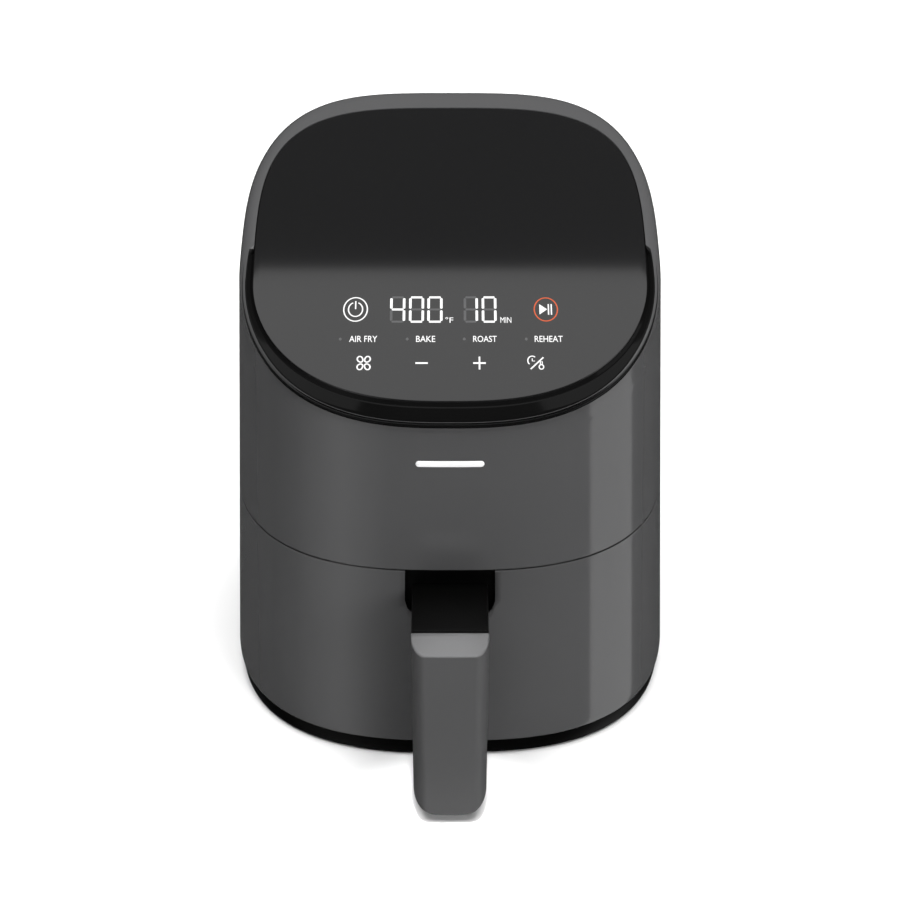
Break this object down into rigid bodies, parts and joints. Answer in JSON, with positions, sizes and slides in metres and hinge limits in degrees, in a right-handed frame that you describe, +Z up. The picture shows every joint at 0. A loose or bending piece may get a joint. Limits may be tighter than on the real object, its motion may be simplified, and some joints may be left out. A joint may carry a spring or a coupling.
{
  "type": "air fryer",
  "caption": "Compact drawer air fryer with a softened square body, sloped touch panel, pull-out basket drawer with a vertical bar handle, heater and fan.",
  "frame": {"origin": "on the floor under the middle of the whole appliance, handle and rear gland included", "axes": "+Z up, the drawer and handle face -Y, +X to the right as seen by someone facing the panel"},
  "size_m": [0.2056, 0.26, 0.2452],
  "materials": {
    "grey_plastic": "satin moulded charcoal grey",
    "black_gloss": "gloss black",
    "panel_lens": "gloss smoked lens",
    "black_plastic": "matte black",
    "foot_rubber": "soft black",
    "steel": "plated",
    "aluminised_steel": "aluminised sheet",
    "element_steel": "heat-darkened",
    "white_ceramic": "glazed",
    "brass": "turned",
    "aluminium": "cast",
    "lamination": "stacked sheet",
    "copper_wire": "enamelled winding",
    "board_green": "solder mask",
    "white_plastic": "moulded",
    "nonstick_coat": "nonstick, faint speckle",
    "silicone": "soft"
  },
  "bodies": {
    "housing": {"outer_shell": "grey_plastic", "neck_band": "black_gloss", "panel_bezel": "black_gloss", "touch_panel": "panel_lens", "base_cover": "black_plastic", "feet": "foot_rubber", "base_screws": "steel", "vent_grille": "black_plastic", "cord_gland": "foot_rubber", "cavity_liner": "aluminised_steel", "heat_shield": "aluminised_steel", "shield_screws": "steel", "heating_element": "element_steel", "element_clips": "aluminised_steel", "element_guard": "steel", "temperature_sensor": "steel", "thermal_cutout": "white_ceramic", "motor_stator": "lamination", "motor_coil": "copper_wire", "motor_bracket": "aluminised_steel", "motor_posts": "aluminised_steel", "bearing_lower": "brass", "bearing_upper": "brass", "motor_bridge": "aluminised_steel", "motor_spacers": "aluminised_steel", "motor_screws": "steel", "power_board": "board_green", "board_posts": "grey_plastic", "power_relay": "black_plastic", "power_capacitor": "white_ceramic", "power_transformer": "lamination", "terminal_block": "white_plastic", "control_board": "board_green", "led_display": "black_plastic", "touch_springs": "steel", "control_screws": "steel", "switch_body": "black_plastic", "switch_spring": "steel"},
    "drawer": {"drawer_front": "grey_plastic", "drawer_frame": "black_plastic", "handle_bracket": "black_gloss", "handle_grip": "grey_plastic", "handle_back": "black_plastic", "handle_screws": "steel", "basket": "nonstick_coat", "basket_rivets": "steel"},
    "plate": {"crisper_plate": "nonstick_coat", "plate_feet": "silicone"},
    "fan_assembly": {"motor_shaft": "steel", "motor_rotor": "aluminium", "convection_fan": "aluminised_steel", "cooling_fan": "black_plastic", "fan_nut": "brass"},
    "plunger": {"switch_plunger": "white_plastic"}
  },
  "joints": [
    {"name": "drawer_slide", "type": "slide", "parent": "housing", "child": "drawer", "axis": [0, -1, 0], "range_m": [0, 0.185]},
    {"name": "plate_lift", "type": "slide", "parent": "drawer", "child": "plate", "axis": [0, 0, 1], "range_m": [0, 0.076]},
    {"name": "fan_spin", "type": "hinge", "parent": "housing", "child": "fan_assembly", "pos_m": [0, 0.017, 0.15], "axis": [0, 0, 1], "continuous": true},
    {"name": "switch_travel", "type": "slide", "parent": "housing", "child": "plunger", "axis": [0, -1, 0], "range_m": [0, 0.0028]}
  ],
  "couplings": [
    {"joint": "switch_travel", "follows": "drawer_slide", "ratio": 0.015135}
  ]
}
